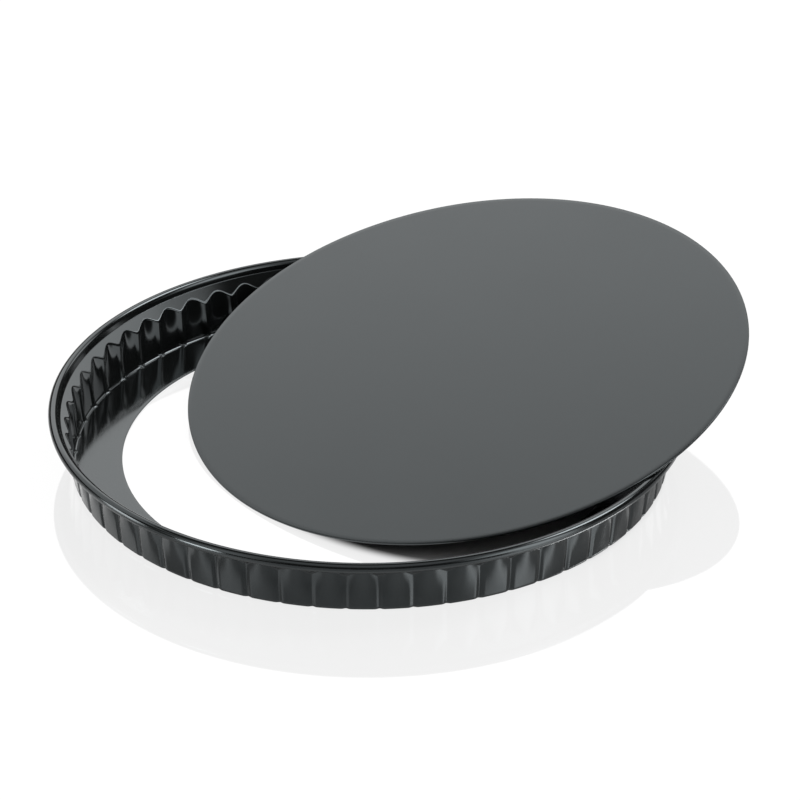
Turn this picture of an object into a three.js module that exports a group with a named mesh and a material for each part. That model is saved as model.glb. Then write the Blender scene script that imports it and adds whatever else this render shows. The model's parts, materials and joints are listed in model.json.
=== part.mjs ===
// Loose-bottom quiche pan in two pieces: a fluted ring pressed from coated sheet steel, with a flat ledge
// turned in at its foot and a flared collar rolled into a bead at its rim, and a loose round plate that lies
// on the ledge in use. The plate is shown taken out of its seat: its low edge stands on the table inside the
// ring, and its underside leans on the rim at two points, uphill towards +X.
// Millimetres, +Z up. The table is z = 0 and the origin lies under the middle of the whole.

import * as THREE from 'three';

// Ring
const RIM_DIAMETER = 280; // over the rolled bead
const HEIGHT = 27.2; // table to the top of the bead
const BEAD_DIAMETER = 4.4;
const BEAD_CURL = 290; // degrees that the sheet is rolled through
const COLLAR_HEIGHT = 6.5; // plain collar and bead, from the flutes' tops
const RIM_OVERHANG = 9.1; // bead past the flutes, where the wall would meet the table without its bend
const WALL_LEAN = 7.2; // degrees from upright, along the flutes' crowns
const FOOT_BEND = 2.2; // outer radius of the bend from ledge to wall
const LEDGE_WIDTH = 22.2; // underside, from the flutes' crowns to the hole
const RING_SHEET = 0.6;

// Flutes: crowns with grooves between them. The grooves are narrow and shallow at the foot, and widen upwards
// until the wall is one even wave.
const FLUTE_COUNT = 59;
const TOP_DEPTH = 1.5; // of the grooves behind the crowns, at the grooves' tops
const TOP_WIDTH = 1; // of the grooves, as a share of the flutes' pitch
const FOOT_DEPTH = 0.65;
const FOOT_WIDTH = 0.33;
const FIRST_GROOVE = 4.35; // degrees from +X

// Plate
const PLATE_SHEET = 1;
const PLATE_EDGE = 0.25; // bevel of its cut edge
const PLATE_CLEARANCE = 2.1; // all round, to the foot of the wall's grooves
const LEAN_OFFSET = 53; // middle of the plate's underside from the ring's axis, on the table
const REST_GAP = 0.3; // plate to bead where it leans

// Fineness of the round forms
const STEPS_PER_FLUTE = 8;
const STEPS_PER_PLAIN_FLUTE = 2; // where the ring has no flutes
const BEND_STEPS = 2;
const PLATE_STEPS = 120;

const RADIAN = Math.PI / 180;
const QUARTER_TURN = Math.PI / 2;
const plainSteps = FLUTE_COUNT * STEPS_PER_PLAIN_FLUTE;
const flutedSteps = FLUTE_COUNT * STEPS_PER_FLUTE;

function arcPoint(centre, radius, angle) {
  return new THREE.Vector2(centre.x + radius * Math.cos(angle), centre.y + radius * Math.sin(angle));
}

// The ring's section through a flute's crown lies in the plane of radius (x) and height (y), and is drawn on
// the outer face of the sheet. The wall goes up to the flutes' tops, and the collar from there to the bead.
// It meets the bead's curl as a tangent, so its slope follows from the two.
const origin = new THREE.Vector2(0, 0);
const bead = new THREE.Vector2((RIM_DIAMETER - BEAD_DIAMETER) / 2, HEIGHT - BEAD_DIAMETER / 2);
const curlOuter = BEAD_DIAMETER / 2;
const curlInner = curlOuter - RING_SHEET;
const foot = new THREE.Vector2(RIM_DIAMETER / 2 - RIM_OVERHANG, 0);
const hole = foot.x - LEDGE_WIDTH;
const wallAngle = QUARTER_TURN - WALL_LEAN * RADIAN;
const fluteTop = arcPoint(foot, (HEIGHT - COLLAR_HEIGHT) / Math.sin(wallAngle), wallAngle);
const topToBead = bead.clone().sub(fluteTop);
const collarAngle = topToBead.angle() + Math.asin(curlInner / topToBead.length());

// How far a bend's tangent points lie from its corner, as a share of its radius
const bendReach = Math.tan(wallAngle / 2);
const innerBend = FOOT_BEND - RING_SHEET;
const innerFoot = new THREE.Vector2(foot.x - RING_SHEET * bendReach, RING_SHEET);
const plateRadius = innerFoot.x - innerBend * bendReach - FOOT_DEPTH - PLATE_CLEARANCE;
const plateFoot = plateRadius - PLATE_EDGE; // radius of the underside inside its bevel

// The flutes' tops on the inner face lie across the sheet, at the middle of the turn from wall to collar.
const turnAngle = wallAngle - collarAngle;
const acrossTurn = collarAngle + turnAngle / 2 + QUARTER_TURN;
const innerFluteTop = arcPoint(fluteTop, RING_SHEET / Math.cos(turnAngle / 2), acrossTurn);

// From a crown to a groove the wall goes inwards, so it meets the collar lower down, and the flutes' tops are
// arches.
const footDip = new THREE.Vector2(-FOOT_DEPTH, 0);
const archDrop = (TOP_DEPTH * Math.sin(wallAngle)) / Math.sin(turnAngle);
const topDip = arcPoint(origin, -archDrop, collarAngle);

// One row of the ring's surface goes once round the axis. It has a point of the section at the crowns, the
// dip from there to the grooves, and the grooves' width.
function plainRow(point) {
  return { point, dip: origin, width: 1, steps: plainSteps };
}

function footRow(point) {
  return { point, dip: footDip, width: FOOT_WIDTH, steps: flutedSteps };
}

function archRow(point) {
  return { point, dip: topDip, width: TOP_WIDTH, steps: flutedSteps };
}

// The bend from the ledge to the wall, from the ledge's tangent point to the wall's.
function bendRows(corner, radius, steps) {
  const centre = new THREE.Vector2(corner.x - radius * bendReach, corner.y + radius);
  return Array.from({ length: steps + 1 }, (_, i) => {
    const angle = -QUARTER_TURN + (wallAngle * i) / steps;
    return footRow(arcPoint(centre, radius, angle));
  });
}

// One face of the rolled bead, from the collar over the top, outwards and back under. Its points lie at whole
// steps of the turn, so that the bead's top and its outermost point are among them.
function curlRows(radius, step) {
  const start = collarAngle + QUARTER_TURN;
  const end = start - BEAD_CURL * RADIAN;
  const angles = [start];
  for (let k = Math.ceil(start / step) - 1; k * step > end; k -= 1) {
    angles.push(k * step);
  }
  angles.push(end);
  return angles.map((angle) => plainRow(arcPoint(bead, radius, angle)));
}

// The whole section as a closed round: out along the underside, up the outer face, round the curl,
// down the inner face and back in along the ledge.
function ringRows() {
  return [
    plainRow(new THREE.Vector2(hole, 0)),
    ...bendRows(foot, FOOT_BEND, BEND_STEPS),
    archRow(fluteTop),
    ...curlRows(curlInner, QUARTER_TURN),
    ...curlRows(curlOuter, QUARTER_TURN / 2).reverse(),
    archRow(innerFluteTop),
    ...bendRows(innerFoot, innerBend, 1).reverse(),
    plainRow(new THREE.Vector2(hole, RING_SHEET)),
  ];
}

// How far the wall goes in at a share of the turn: 1 in the middle of a groove, 0 on a crown.
function dent(turn, width) {
  const place = (turn * FLUTE_COUNT) % 1;
  const away = (2 * Math.min(place, 1 - place)) / width;
  return (1 + Math.cos(Math.PI * Math.min(away, 1))) / 2;
}

// A surface of rows round the Z axis, each row joined to the next and the last to the first. Two rows
// may have different numbers of points: each step goes to the row that is behind.
function rowGeometry(rows) {
  const positions = [];
  const firsts = [];
  for (const { point, dip, width, steps } of rows) {
    firsts.push(positions.length / 3);
    for (let i = 0; i < steps; i += 1) {
      const turn = i / steps;
      const place = point.clone().addScaledVector(dip, dent(turn, width));
      const angle = 2 * Math.PI * turn + FIRST_GROOVE * RADIAN;
      positions.push(place.x * Math.cos(angle), place.x * Math.sin(angle), place.y);
    }
  }
  const indices = [];
  rows.forEach((low, k) => {
    const next = (k + 1) % rows.length;
    const high = rows[next];
    let i = 0;
    let j = 0;
    while (i < low.steps || j < high.steps) {
      const a = firsts[k] + (i % low.steps);
      const b = firsts[next] + (j % high.steps);
      if ((i + 1) / low.steps <= (j + 1) / high.steps) {
        i += 1;
        indices.push(a, firsts[k] + (i % low.steps), b);
      } else {
        j += 1;
        indices.push(a, firsts[next] + (j % high.steps), b);
      }
    }
  });
  const geometry = new THREE.BufferGeometry();
  geometry.setAttribute('position', new THREE.Float32BufferAttribute(positions, 3));
  geometry.setIndex(indices);
  geometry.computeVertexNormals();
  return geometry;
}

// The plate as a revolved profile, with its underside on z = 0.
function plateGeometry() {
  const profile = [
    new THREE.Vector2(0, 0),
    new THREE.Vector2(plateFoot, 0),
    new THREE.Vector2(plateRadius, PLATE_EDGE),
    new THREE.Vector2(plateRadius, PLATE_SHEET - PLATE_EDGE),
    new THREE.Vector2(plateFoot, PLATE_SHEET),
    new THREE.Vector2(0, PLATE_SHEET),
  ];
  return new THREE.LatheGeometry(profile, PLATE_STEPS).rotateX(QUARTER_TURN);
}

// Gap from the plate's lower edge to the bead at a tilt, with the plate's lowest point on the table.
// It is negative where the edge passes below the middle of the bead.
function gapAtBead(tilt) {
  const samples = 4000;
  let nearest = Infinity;
  let above = false;
  for (let i = 0; i <= samples; i += 1) {
    const angle = (Math.PI * i) / samples;
    const uphill = LEAN_OFFSET + plateFoot * Math.cos(angle) * Math.cos(tilt);
    const sideways = plateFoot * Math.sin(angle);
    const height = plateFoot * Math.sin(tilt) * (1 + Math.cos(angle));
    const distance = Math.hypot(Math.hypot(uphill, sideways) - bead.x, height - bead.y);
    if (distance < nearest) {
      nearest = distance;
      above = height > bead.y;
    }
  }
  return above ? nearest - curlOuter : -nearest;
}

// The tilt at which the plate comes down on the rim, halved in from flat and steep.
function leanTilt() {
  let flat = 0;
  let steep = Math.PI / 3;
  for (let i = 0; i < 40; i += 1) {
    const middle = (flat + steep) / 2;
    if (gapAtBead(middle) > REST_GAP) {
      steep = middle;
    } else {
      flat = middle;
    }
  }
  return steep;
}

const tilt = leanTilt();
const plateEnd = LEAN_OFFSET + plateRadius * Math.cos(tilt) - PLATE_EDGE * Math.sin(tilt);
const ringAxis = (RIM_DIAMETER / 2 - plateEnd) / 2; // puts the origin under the middle of the whole

const ringCoating = new THREE.MeshStandardMaterial({ color: 0x25282a, roughness: 0.32, metalness: 0.3 });
const plateCoating = new THREE.MeshStandardMaterial({ color: 0x565a5b, roughness: 0.45, metalness: 0.3 });

const ring = new THREE.Mesh(rowGeometry(ringRows()), ringCoating);
ring.name = 'fluted_ring';
ring.position.x = ringAxis;

const plate = new THREE.Mesh(plateGeometry(), plateCoating);
plate.name = 'loose_bottom';
plate.position.set(ringAxis + LEAN_OFFSET, 0, plateFoot * Math.sin(tilt));
plate.rotation.y = -tilt;

const pan = new THREE.Group();
pan.add(ring, plate);

export default pan;
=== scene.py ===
"""Looks of the loose-bottom quiche pan: the fluted ring and the plate as fine meshes in the place of their
plain solids, with a dark satin coating, on a glossy white table in soft studio light. Metres, in the
frame's axes."""

import json
import math

import bpy
import numpy as np
from mathutils import Matrix, Vector


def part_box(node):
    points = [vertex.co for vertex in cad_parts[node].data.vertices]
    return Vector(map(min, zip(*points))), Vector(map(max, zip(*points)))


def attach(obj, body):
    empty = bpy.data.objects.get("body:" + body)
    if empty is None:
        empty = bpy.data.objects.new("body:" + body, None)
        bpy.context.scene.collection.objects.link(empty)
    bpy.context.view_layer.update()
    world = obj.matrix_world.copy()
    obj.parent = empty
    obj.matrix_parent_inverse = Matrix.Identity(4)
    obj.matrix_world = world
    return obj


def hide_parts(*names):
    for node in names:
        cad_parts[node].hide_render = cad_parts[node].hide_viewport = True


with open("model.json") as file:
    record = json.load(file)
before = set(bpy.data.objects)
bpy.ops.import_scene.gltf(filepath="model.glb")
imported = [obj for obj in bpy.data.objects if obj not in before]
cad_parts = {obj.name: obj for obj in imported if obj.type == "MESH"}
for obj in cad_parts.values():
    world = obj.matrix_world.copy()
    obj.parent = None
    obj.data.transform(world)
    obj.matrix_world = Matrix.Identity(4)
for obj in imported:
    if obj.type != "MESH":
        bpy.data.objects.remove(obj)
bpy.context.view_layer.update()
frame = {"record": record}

MM = 0.001
QUARTER_TURN = math.pi / 2

# Ring. The rim, the height and the axis come from the frame.
BEAD_RADIUS = 2.2 * MM
BEAD_CURL = math.radians(290)
COLLAR_HEIGHT = 6.5 * MM
RIM_OVERHANG = 9.1 * MM
WALL_LEAN = math.radians(7.2)
FOLD_RADIUS = 1.2 * MM
FOOT_BEND = 2.2 * MM
LEDGE_WIDTH = 22.2 * MM
RING_SHEET = 0.6 * MM
HOLE_EDGE = 0.2 * MM

# The collar's inner face is dished. Below a crease it is shaded as if it lay nearly flat, and above the
# crease as if it stood nearly upright. Its points stay on the plain cone of the solid, and only its normals
# turn.
DISH_CREASE = 2.4 * MM  # below the bead's curl
DISH_FILLET = 0.35 * MM  # width of the crease
DISH_SIDE = math.radians(5)  # rise of the normals above the crease
DISH_FLOOR = math.radians(75)  # and below it

# Flutes: crowns with grooves between them. The grooves are narrow and shallow at the foot, and widen upwards
# until the wall is one wave. Their widths are shares of the flutes' pitch.
FLUTE_COUNT = 59
TOP_DEPTH = 1.5 * MM
TOP_WIDTH = 1
FOOT_DEPTH = 0.65 * MM
FOOT_WIDTH = 0.3
CREST_POWER = 1.5  # below 2, the grooves' bottoms are sharper than a cosine wave's
FLARE_POWER = 2  # above 1, most of the widening comes near the top
FIRST_GROOVE = math.radians(4.35)

# Plate. Its place comes from the frame's serving face, and its radius from its box.
PLATE_SHEET = 1.0 * MM
PLATE_TOP_EDGE = 0.35 * MM
PLATE_LOW_EDGE = 0.25 * MM

# Fineness
HALF_FLUTE_STEPS = 12
GROOVE_CROWDING = 1.4
BEND_STEPS = 8
WALL_STEPS = 14
FOLD_STEPS = 6
COLLAR_STEPS = 4
SIDE_STEPS = 3
CURL_STEPS = 28
LEDGE_STEPS = 6
EDGE_STEPS = 4
PLATE_STEPS = 480
PLATE_RINGS = 12

# Coating
COATING_DARK = (0.0056, 0.0062, 0.0062, 1)
COATING_LIGHT = (0.0072, 0.0080, 0.0080, 1)
COATING_IOR = 1.7
COATING_TINT = (0.87, 0.965, 1, 1)
RING_ROUGHNESS = 0.1
PLATE_ROUGHNESS = 0.18
GRAIN = {"Scale": 1700, "Detail": 3, "Roughness": 0.6}
GRAIN_GLOSS = 0.015
GRAIN_STRENGTH = 0.12
GRAIN_DEPTH = 0.02 * MM
CLOUDS = {"Scale": 24, "Detail": 5, "Roughness": 0.55}
CLOUD_GLOSS = 0.02
NOISE_SPAN = (0.3, 0.7)  # the part of a noise's values that is used

# Table. A fill is a share of plain white, and a gloss is a share of a mirror. Those with MIRROR in their
# names are what reflections see.
FLOOR_SIZE = 8
FLOOR_DROP = 0.2 * MM
FLOOR_COLOUR = (0.93, 0.93, 0.93, 1)
FLOOR_FILL = 0.9
FLOOR_GLOSS = 0.095
FLOOR_MIRROR_FILL = 0.15
FLOOR_MIRROR_GLOSS = 0.42
HOLE_MIRROR_FILL = 1
HOLE_FADE = (0.95, 0.85)  # shares of the rim's radius
GLOSS_ROUGHNESS = 0.04
# A painted shadow on the table: inside the ring, in an ellipse under the plate's place at rest, the table's
# colour goes to this dark grey and gets no white fill. It stays in place when the plate lifts.
PAINTED_SHADE_COLOUR = (0.3, 0.3, 0.3, 1)
PAINTED_SHADE_SHIFT = Vector((7 * MM, -9.6 * MM, 0))  # from the point under the plate's middle
PAINTED_SHADE_FADE = (1.03, 0.97)  # shares of the plate's half length and half width

# Studio. A direction is an azimuth to the right of the camera's and an elevation, in degrees. A rise or an
# end is a pair of heights in degrees, and a fade is a pair of cosines, between which the light comes or goes.
STUDIO_DARK = 0.03  # everywhere
STUDIO_RISE = (15, 23)  # above the dark horizon
BACK_BRIGHT = 1.58  # backdrop below a slanting line
BACK_DIM = 1.02  # and above it
BACK_SLANT = (-21.8, 41.7)
BACK_SLANT_FADE = (-0.055, 0.012)
BACK_END = (53.5, 50.5)
BACK_RIGHT = (98, 0)
BACK_RIGHT_FADE = (0.54, 0.42)
BACK_AHEAD_FADE = (0, -0.2)
FRONT_RIGHT = 3
FRONT_LEFT = 1
FRONT_SIDE_FADE = (0.4, 0.7)
FRONT_AHEAD_FADE = (0.1, 0.35)
DOME = 0.55
DOME_RISE = (35, 55)
DOME_AHEAD_FADE = (-0.2, 0.1)
# Soft lamps: a direction, the angles from it to the end of the core and to the edge, and a glow
LAMPS = (
    ((-58, 6), 4, 10, 10),
    ((-90, 7), 5, 12, 6),
    ((60, 8), 7, 17, 2.5),
    ((117, 52), 7, 14, 8),
    ((133, 24), 5, 13, 1.8),
)

# Camera. Its angles are in degrees, and its distance and target are from the ring's axis on the table.
CAMERA_AZIMUTH = -35.41
CAMERA_ELEVATION = 30.118
CAMERA_ROLL = -0.124
CAMERA_DISTANCE = 1587.03 * MM
CAMERA_TARGET = Vector((37.63 * MM, 28.92 * MM, 0))
CAMERA_LENS = 162
CAMERA_SENSOR = 36

ring_low, ring_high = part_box("fluted_ring")
plate_low, plate_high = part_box("loose_bottom")
axis_x = (ring_low.x + ring_high.x) / 2
rim_radius = (ring_high.y - ring_low.y) / 2
rim_height = ring_high.z
plate_radius = (plate_high.y - plate_low.y) / 2
serving_face = next(m for m in frame["record"]["mounts"] if m["name"] == "serving_face")


def crowded(steps):
    """Shares from 0 to 1 that lie closer at both ends, so that flat faces stay flat up to their bends."""
    return [(1 - math.cos(math.pi * k / steps)) / 2 for k in range(steps + 1)]


def direction(angle):
    """A unit step in the plane of radius and height."""
    return np.array((math.cos(angle), math.sin(angle)))


def arc(centre, radius, start, end, steps):
    """Points or rows of an arc in the plane of radius and height."""
    return [centre + radius * direction(angle) for angle in np.linspace(start, end, steps + 1)]


def smooth_mesh(name, vertices, faces):
    """A new smooth-shaded mesh object."""
    mesh = bpy.data.meshes.new(name)
    mesh.from_pydata(vertices, [], faces)
    mesh.polygons.foreach_set("use_smooth", [True] * len(mesh.polygons))
    mesh.update()
    obj = bpy.data.objects.new(name, mesh)
    bpy.context.scene.collection.objects.link(obj)
    return obj


def band_faces(row_count, row_length, closed):
    """Quads between rows of points that go round an axis. If closed, the last row joins the first."""
    faces = []
    for k in range(row_count if closed else row_count - 1):
        low, high = k * row_length, (k + 1) % row_count * row_length
        for j in range(row_length):
            i = (j + 1) % row_length
            faces.append((low + j, low + i, high + i, high + j))
    return faces


# The ring's section through a flute's crown lies in the plane of radius and height, and is drawn on the
# outer face of the sheet: the wall up to the flutes' tops, and the collar from there to the bead's curl,
# which it meets as a tangent.
bead = np.array((rim_radius - BEAD_RADIUS, rim_height - BEAD_RADIUS))
curl_inner = BEAD_RADIUS - RING_SHEET
foot = np.array((rim_radius - RIM_OVERHANG, 0))
hole_radius = foot[0] - LEDGE_WIDTH
wall_angle = QUARTER_TURN - WALL_LEAN
flute_top = foot + (rim_height - COLLAR_HEIGHT) / math.sin(wall_angle) * direction(wall_angle)
top_to_bead = bead - flute_top
collar_angle = math.atan2(top_to_bead[1], top_to_bead[0])
collar_angle += math.asin(curl_inner / np.linalg.norm(top_to_bead))
turn_angle = wall_angle - collar_angle
curl_angle = collar_angle + QUARTER_TURN

# From a crown to a groove the wall goes inwards, so it meets the collar lower down.
foot_dip = np.array((-FOOT_DEPTH, 0))
top_dip = -TOP_DEPTH * math.sin(wall_angle) / math.sin(turn_angle) * direction(collar_angle)

# Columns of points round the axis, closer together near the grooves. They lie 0 to 1 away from a groove's
# middle, where 1 is a crown.
half_flute = np.linspace(0, 1, HALF_FLUTE_STEPS + 1) ** GROOVE_CROWDING
back_half = half_flute[-2:0:-1]
from_groove = np.concatenate([half_flute, back_half])
crown = from_groove.argmax()
places = np.concatenate([half_flute, 2 - back_half]) / 2
turns = (np.arange(FLUTE_COUNT)[:, None] + places).ravel() / FLUTE_COUNT
angles = 2 * math.pi * turns + FIRST_GROOVE
columns = len(angles)


def dents(width):
    """How far the wall goes in at each column: 1 in the middle of the grooves, 0 on the crowns."""
    away = np.minimum(from_groove / width, 1)
    return np.tile(1 - np.sin(QUARTER_TURN * away) ** CREST_POWER, FLUTE_COUNT)[:, None]


def plain_rows(points):
    """Rows that keep one radius and one height all round."""
    return [np.tile(point, (columns, 1)) for point in points]


def between(start, end, shares):
    """Points or rows on the straight lines from one to another."""
    return [start + (end - start) * share for share in shares]


def bend_rows(offset):
    """The bend from the ledge to the wall."""
    to_centre = np.array((-math.tan(wall_angle / 2), 1))
    centre = foot + FOOT_BEND * to_centre + foot_dip * dents(FOOT_WIDTH)
    return arc(centre, FOOT_BEND - offset, -QUARTER_TURN, wall_angle - QUARTER_TURN, BEND_STEPS)


def wall_rows(low, high):
    """Rows up the wall, between two rows. The crowns are straight, and the grooves flare."""
    low_dip = low - low[crown]
    high_dip = high - high[crown]
    rows = []
    for share in crowded(WALL_STEPS)[1:-1]:
        line = low[crown] + (high[crown] - low[crown]) * share
        rows.append(line + low_dip + (high_dip - low_dip) * share ** FLARE_POWER)
    return rows


def fold_rows(offset):
    """The fold from the wall to the collar, along the flutes' tops."""
    corner = flute_top + top_dip * dents(TOP_WIDTH)
    start = corner - FOLD_RADIUS * math.tan(turn_angle / 2) * direction(wall_angle)
    centre = start - FOLD_RADIUS * direction(wall_angle + QUARTER_TURN)
    return arc(centre, FOLD_RADIUS + offset, wall_angle + QUARTER_TURN, curl_angle, FOLD_STEPS)


def collar_rows(fold_end, offset):
    """The collar from the fold to the bead's curl, with a row on each side of its crease."""
    curl_start = bead + (curl_inner + offset) * direction(curl_angle)
    crease = curl_start - DISH_CREASE * direction(collar_angle)
    fillet = DISH_FILLET / 2 * direction(collar_angle)
    dish = between(fold_end, crease - fillet, crowded(COLLAR_STEPS)[1:])
    side = between(crease + fillet, curl_start, crowded(SIDE_STEPS)[:-1])
    return dish + plain_rows(side)


def face_rows(offset):
    """One face of the sheet, at an offset from its outer face, from the hole's edge to the bead's curl. A row
    holds one radius and one height for each column."""
    bend = bend_rows(offset)
    fold = fold_rows(offset)
    ledge_start = np.array((hole_radius + HOLE_EDGE, offset))
    ledge = between(ledge_start, bend[0], crowded(LEDGE_STEPS)[:-1])
    return ledge + bend + wall_rows(bend[-1], fold[0]) + fold + collar_rows(fold[-1], offset)


def bead_rows():
    """The rolled bead: the inside of the curl, the rounded end of the sheet, and the outside of the curl."""
    end = curl_angle - BEAD_CURL
    middle = bead + (BEAD_RADIUS - RING_SHEET / 2) * direction(end)
    cap = arc(middle, RING_SHEET / 2, end - math.pi, end, EDGE_STEPS)[1:-1]
    inside = arc(bead, curl_inner, curl_angle, end, CURL_STEPS)
    outside = arc(bead, BEAD_RADIUS, end, curl_angle, CURL_STEPS)
    return plain_rows(inside + cap + outside)


def hole_rows():
    """The rounded edge of the hole, from the ledge's top to its underside."""
    middle = hole_radius + HOLE_EDGE
    top = arc((middle, RING_SHEET - HOLE_EDGE), HOLE_EDGE, QUARTER_TURN, math.pi, EDGE_STEPS)
    low = arc((middle, HOLE_EDGE), HOLE_EDGE, math.pi, 3 * QUARTER_TURN, EDGE_STEPS)
    return plain_rows(top[1:] + low[:-1])


def make_ring():
    """The ring, as one closed sheet of rows round its axis."""
    outer = face_rows(0)
    curl = bead_rows()
    inner = face_rows(RING_SHEET)[::-1]
    rows = outer + curl + inner + hole_rows()
    cos, sin = np.cos(angles), np.sin(angles)
    vertices = []
    for row in rows:
        radius, height = row.T
        vertices += np.stack((axis_x + radius * cos, radius * sin, height), axis=1).tolist()
    ring = smooth_mesh("pan_ring", vertices, band_faces(len(rows), columns, True))

    # Zero keeps the mesh's own normal. The inner face starts at the bead, with the rows above the crease.
    normals = np.zeros((len(rows), columns, 3))
    rises = [DISH_SIDE] * SIDE_STEPS + [DISH_FLOOR] * COLLAR_STEPS
    for k, rise in enumerate(rises, len(outer) + len(curl)):
        inwards = -math.cos(rise)
        normals[k] = np.stack((inwards * cos, inwards * sin, np.full(columns, math.sin(rise))), axis=1)
    ring.data.normals_split_custom_set_from_vertices(normals.reshape(-1, 3).tolist())
    return ring


def make_plate():
    """The plate, made flat round its top's middle, and then tilted into its place."""
    low_middle = (plate_radius - PLATE_LOW_EDGE, -PLATE_SHEET + PLATE_LOW_EDGE)
    top_middle = (plate_radius - PLATE_TOP_EDGE, -PLATE_TOP_EDGE)
    rings = crowded(PLATE_RINGS)[1:-1]
    section = [(low_middle[0] * share, -PLATE_SHEET) for share in rings]
    section += arc(low_middle, PLATE_LOW_EDGE, -QUARTER_TURN, 0, EDGE_STEPS)
    section += arc(top_middle, PLATE_TOP_EDGE, 0, QUARTER_TURN, EDGE_STEPS)
    section += [(top_middle[0] * share, 0) for share in reversed(rings)]
    vertices = []
    for radius, height in section:
        for j in range(PLATE_STEPS):
            angle = 2 * math.pi * j / PLATE_STEPS
            vertices.append(Vector((radius * math.cos(angle), radius * math.sin(angle), height)))
    faces = band_faces(len(section), PLATE_STEPS, False)
    low_pole, top_pole = len(vertices), len(vertices) + 1
    vertices += [Vector((0, 0, -PLATE_SHEET)), Vector((0, 0, 0))]
    last = (len(section) - 1) * PLATE_STEPS
    for j in range(PLATE_STEPS):
        i = (j + 1) % PLATE_STEPS
        faces.append((low_pole, i, j))
        faces.append((top_pole, last + j, last + i))
    up = Vector(serving_face["axis"]).normalized()
    side = Vector((0, 1, 0))
    tilt = Matrix((side.cross(up), side, up)).transposed()
    middle = Vector(serving_face["pos_m"])
    return smooth_mesh("pan_bottom", [tilt @ v + middle for v in vertices], faces)


def add_node(tree, kind, **inputs):
    """A new node with values on its inputs. An underscore stands for a space in an input's name."""
    node = tree.nodes.new(kind)
    for name, value in inputs.items():
        node.inputs[name.replace("_", " ")].default_value = value
    return node


def math_node(tree, operation, *sources):
    """A math node on sockets or numbers."""
    node = tree.nodes.new("ShaderNodeMath")
    node.operation = operation
    for source, socket in zip(sources, node.inputs):
        if isinstance(source, (int, float)):
            socket.default_value = source
        else:
            tree.links.new(source, socket)
    return node.outputs["Value"]


def noise_node(tree, noise, low, high):
    """The middle span of a noise as values from low to high."""
    start, end = NOISE_SPAN
    node = add_node(tree, "ShaderNodeMapRange", From_Min=start, From_Max=end, To_Min=low, To_Max=high)
    tree.links.new(noise.outputs["Fac"], node.inputs["Value"])
    return node.outputs["Result"]


def fade_node(tree, source, fade):
    """A soft step from 0 where the source is at the fade's start to 1 where it is at its end."""
    node = add_node(tree, "ShaderNodeMapRange", From_Min=fade[0], From_Max=fade[1])
    node.interpolation_type = "SMOOTHSTEP"
    tree.links.new(source, node.inputs["Value"])
    return node.outputs["Result"]


def mix_colours(tree, share, first, second):
    """A colour that goes from the first to the second as the share goes from 0 to 1."""
    node = tree.nodes.new("ShaderNodeMix")
    node.data_type = "RGBA"
    node.inputs["A"].default_value = first
    node.inputs["B"].default_value = second
    tree.links.new(share, node.inputs["Factor"])
    return node.outputs["Result"]


def mix_shaders(tree, share, first, second):
    """A shader that goes from the first to the second as the share goes from 0 to 1."""
    node = tree.nodes.new("ShaderNodeMixShader")
    tree.links.new(share, node.inputs["Fac"])
    tree.links.new(first, node.inputs[1])
    tree.links.new(second, node.inputs[2])
    return node.outputs["Shader"]


def coating(name, roughness):
    """Satin dark non-stick coating: faint clouds in tone and gloss, and a fine grain in the surface."""
    material = bpy.data.materials.new(name)
    material.use_nodes = True
    tree = material.node_tree
    shader = tree.nodes["Principled BSDF"]
    shader.inputs["IOR"].default_value = COATING_IOR
    shader.inputs["Specular Tint"].default_value = COATING_TINT
    place = tree.nodes.new("ShaderNodeTexCoord").outputs["Object"]
    grain = add_node(tree, "ShaderNodeTexNoise", **GRAIN)
    clouds = add_node(tree, "ShaderNodeTexNoise", **CLOUDS)
    for noise in (grain, clouds):
        tree.links.new(place, noise.inputs["Vector"])
    tone = mix_colours(tree, noise_node(tree, clouds, 0, 1), COATING_DARK, COATING_LIGHT)
    tree.links.new(tone, shader.inputs["Base Color"])
    cloud_gloss = noise_node(tree, clouds, roughness - CLOUD_GLOSS, roughness + CLOUD_GLOSS)
    grain_gloss = noise_node(tree, grain, -GRAIN_GLOSS, GRAIN_GLOSS)
    tree.links.new(math_node(tree, "ADD", cloud_gloss, grain_gloss), shader.inputs["Roughness"])
    bump = add_node(tree, "ShaderNodeBump", Strength=GRAIN_STRENGTH, Distance=GRAIN_DEPTH)
    tree.links.new(grain.outputs["Fac"], bump.inputs["Height"])
    tree.links.new(bump.outputs["Normal"], shader.inputs["Normal"])
    return material


def ellipse_node(tree, place, middle, half_x, half_y):
    """How far out a place on the table lies: 1 on the ellipse."""
    along = math_node(tree, "DIVIDE", math_node(tree, "SUBTRACT", place.outputs["X"], middle.x), half_x)
    across = math_node(tree, "DIVIDE", math_node(tree, "SUBTRACT", place.outputs["Y"], middle.y), half_y)
    squares = [math_node(tree, "MULTIPLY", share, share) for share in (along, across)]
    return math_node(tree, "SQRT", math_node(tree, "ADD", *squares))


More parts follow.
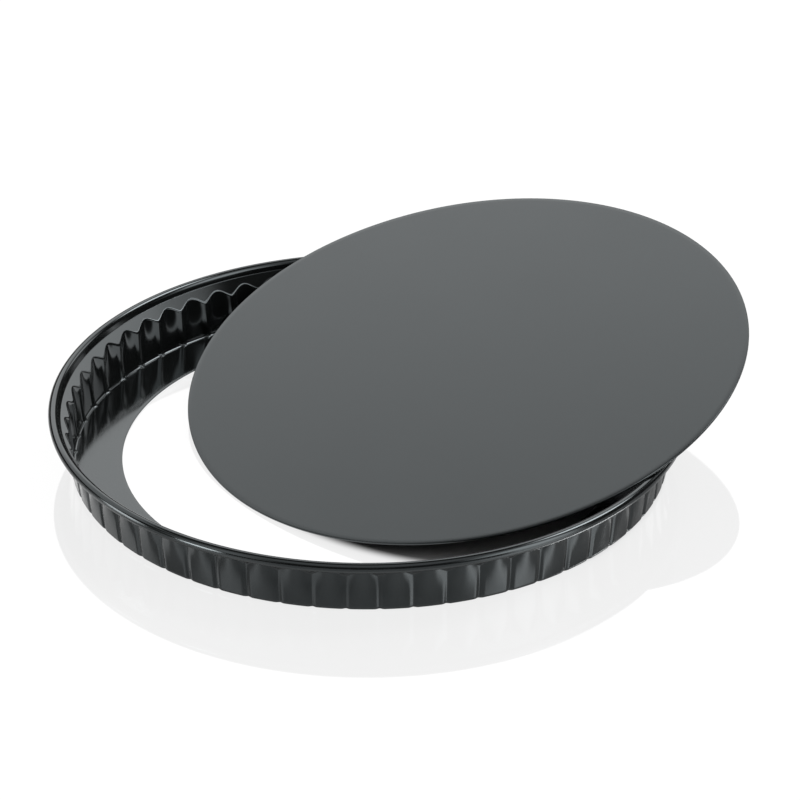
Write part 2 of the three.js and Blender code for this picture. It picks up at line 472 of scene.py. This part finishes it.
def table_material():
    """The table's glossy white. The camera sees it mostly plain white, with the object's shadow and a faint
    mirror image on it. Reflections see more of its shade and gloss. Inside the ring, under the plate's place
    at rest, a painted shadow darkens its colour, and there it gets no white fill."""
    material = bpy.data.materials.new("table_white")
    material.use_nodes = True
    tree = material.node_tree
    tree.nodes.clear()
    path = tree.nodes.new("ShaderNodeLightPath")
    seen = path.outputs["Is Camera Ray"]
    mirrored = math_node(tree, "MAXIMUM", path.outputs["Is Glossy Ray"], path.outputs["Is Transmission Ray"])

    place = tree.nodes.new("ShaderNodeSeparateXYZ")
    tree.links.new(tree.nodes.new("ShaderNodeNewGeometry").outputs["Position"], place.inputs["Vector"])
    ring_middle = Vector((axis_x, 0, 0))
    in_ring = fade_node(tree, ellipse_node(tree, place, ring_middle, rim_radius, rim_radius), HOLE_FADE)
    # The painted shadow under the plate's place at rest, a little towards the camera
    painted_shade_middle = (plate_low + plate_high) / 2 + PAINTED_SHADE_SHIFT
    plate_half = (plate_high.x - plate_low.x) / 2
    in_painted_shade = fade_node(tree, ellipse_node(tree, place, painted_shade_middle, plate_half, plate_radius), PAINTED_SHADE_FADE)
    open_table = math_node(tree, "SUBTRACT", 1, math_node(tree, "MULTIPLY", in_ring, in_painted_shade))

    # Painted shade: the table's colour goes dark inside the painted shadow
    plain = tree.nodes.new("ShaderNodeBsdfDiffuse")
    tree.links.new(mix_colours(tree, open_table, PAINTED_SHADE_COLOUR, FLOOR_COLOUR), plain.inputs["Color"])
    white = add_node(tree, "ShaderNodeEmission", Color=(1, 1, 1, 1), Strength=1)
    gloss = add_node(tree, "ShaderNodeBsdfGlossy", Color=(1, 1, 1, 1), Roughness=GLOSS_ROUGHNESS)

    hole_gain = HOLE_MIRROR_FILL - FLOOR_MIRROR_FILL
    mirror_fill = math_node(tree, "MULTIPLY_ADD", in_ring, hole_gain, FLOOR_MIRROR_FILL)
    mirror_fill = math_node(tree, "MULTIPLY", mirrored, mirror_fill)
    fill = math_node(tree, "MAXIMUM", math_node(tree, "MULTIPLY", seen, FLOOR_FILL), mirror_fill)
    fill = math_node(tree, "MULTIPLY", fill, open_table)
    filled = mix_shaders(tree, fill, plain.outputs["BSDF"], white.outputs["Emission"])

    outside = math_node(tree, "MULTIPLY", math_node(tree, "SUBTRACT", 1, in_ring), mirrored)
    mirror_gloss = math_node(tree, "MULTIPLY", outside, FLOOR_MIRROR_GLOSS)
    sheen = math_node(tree, "MAXIMUM", math_node(tree, "MULTIPLY", seen, FLOOR_GLOSS), mirror_gloss)
    surface = mix_shaders(tree, sheen, filled, gloss.outputs["BSDF"])
    output = tree.nodes.new("ShaderNodeOutputMaterial")
    tree.links.new(surface, output.inputs["Surface"])
    return material


def make_floor():
    """The table, a little lower than the ring, so that their faces don't coincide."""
    half = FLOOR_SIZE / 2
    corners = [(-half, -half), (half, -half), (half, half), (-half, half)]
    floor = smooth_mesh("table", [(x, y, -FLOOR_DROP) for x, y in corners], [(0, 1, 2, 3)])
    floor.data.materials.append(table_material())
    return floor


def camera_side(azimuth, elevation):
    """A direction from the object, by degrees, with its azimuth counted to the right from the camera's."""
    turn = math.radians(CAMERA_AZIMUTH + azimuth)
    rise = math.radians(elevation)
    level = math.cos(rise)
    return Vector((math.sin(turn) * level, -math.cos(turn) * level, math.sin(rise)))


def sight_node(tree, sight, toward):
    """The cosine of the angle between a line of sight and a direction."""
    node = tree.nodes.new("ShaderNodeVectorMath")
    node.operation = "DOT_PRODUCT"
    tree.links.new(sight, node.inputs[0])
    node.inputs[1].default_value = toward
    return node.outputs["Value"]


def height_fade(tree, height, degrees):
    """A soft step between two heights over the horizon."""
    return fade_node(tree, height, [math.sin(math.radians(angle)) for angle in degrees])


def back_level(tree, sight, height, ahead):
    """The bright backdrop behind the object, which ends at the right and overhead."""
    slant = fade_node(tree, sight_node(tree, sight, camera_side(*BACK_SLANT)), BACK_SLANT_FADE)
    level = math_node(tree, "MULTIPLY_ADD", slant, BACK_DIM - BACK_BRIGHT, BACK_BRIGHT)
    limits = (
        height_fade(tree, height, STUDIO_RISE),
        height_fade(tree, height, BACK_END),
        fade_node(tree, sight_node(tree, sight, camera_side(*BACK_RIGHT)), BACK_RIGHT_FADE),
        fade_node(tree, ahead, BACK_AHEAD_FADE),
    )
    for limit in limits:
        level = math_node(tree, "MULTIPLY", level, limit)
    return level


def front_level(tree, sight, height, ahead):
    """Light on the camera's side: from the right, from the left, and from a dim dome above."""
    near = fade_node(tree, ahead, DOME_AHEAD_FADE)
    dome = math_node(tree, "MULTIPLY", height_fade(tree, height, DOME_RISE), near)
    level = math_node(tree, "MULTIPLY", dome, DOME)
    risen = height_fade(tree, height, STUDIO_RISE)
    front = math_node(tree, "MULTIPLY", fade_node(tree, ahead, FRONT_AHEAD_FADE), risen)
    for azimuth, glow in ((90, FRONT_RIGHT), (-90, FRONT_LEFT)):
        aside = fade_node(tree, sight_node(tree, sight, camera_side(azimuth, 0)), FRONT_SIDE_FADE)
        share = math_node(tree, "MULTIPLY", aside, front)
        level = math_node(tree, "MULTIPLY_ADD", share, glow, level)
    return level


def add_lamps(tree, sight, level):
    """A level with the soft lamps added to it."""
    for toward, core, edge, glow in LAMPS:
        angle = sight_node(tree, sight, camera_side(*toward))
        cosines = [math.cos(math.radians(end)) for end in (edge, core)]
        level = math_node(tree, "MULTIPLY_ADD", fade_node(tree, angle, cosines), glow, level)
    return level


def light_world():
    """A soft studio, whose light depends on direction alone. The camera itself sees plain white."""
    world = bpy.data.worlds.new("studio")
    world.use_nodes = True
    tree = world.node_tree
    sight = tree.nodes.new("ShaderNodeTexCoord").outputs["Generated"]
    height = sight_node(tree, sight, Vector((0, 0, 1)))
    ahead = sight_node(tree, sight, camera_side(0, 0))
    back = back_level(tree, sight, height, ahead)
    front = front_level(tree, sight, height, ahead)
    level = math_node(tree, "ADD", math_node(tree, "ADD", back, front), STUDIO_DARK)
    level = add_lamps(tree, sight, level)
    background = tree.nodes["Background"]
    background.inputs["Color"].default_value = (1, 1, 1, 1)
    tree.links.new(level, background.inputs["Strength"])
    white = add_node(tree, "ShaderNodeBackground", Color=(1, 1, 1, 1), Strength=1)
    seen = tree.nodes.new("ShaderNodeLightPath").outputs["Is Camera Ray"]
    surface = mix_shaders(tree, seen, background.outputs["Background"], white.outputs["Background"])
    tree.links.new(surface, tree.nodes["World Output"].inputs["Surface"])
    bpy.context.scene.world = world


def place_camera():
    """A camera at the photo's viewing angle."""
    data = bpy.data.cameras.new("camera")
    data.lens = CAMERA_LENS
    data.sensor_width = CAMERA_SENSOR
    camera = bpy.data.objects.new("camera", data)
    bpy.context.scene.collection.objects.link(camera)
    axis = Vector((axis_x, 0, 0))
    place = axis + CAMERA_DISTANCE * camera_side(0, CAMERA_ELEVATION)
    look = (axis + CAMERA_TARGET - place).normalized()
    right = look.cross(Vector((0, 0, 1))).normalized()
    up = right.cross(look)
    roll = math.radians(CAMERA_ROLL)
    cos, sin = math.cos(roll), math.sin(roll)
    turn = Matrix((right * cos + up * sin, up * cos - right * sin, -look)).transposed()
    camera.matrix_world = Matrix.Translation(place) @ turn.to_4x4()
    bpy.context.scene.camera = camera


ring = make_ring()
ring.data.materials.append(coating("ring_coating_fine", RING_ROUGHNESS))
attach(ring, "ring")
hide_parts("fluted_ring")

plate = make_plate()
plate.data.materials.append(coating("plate_coating_fine", PLATE_ROUGHNESS))
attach(plate, "bottom")
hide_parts("loose_bottom")

make_floor()
light_world()
place_camera()

bpy.context.scene.view_settings.view_transform = "Standard"
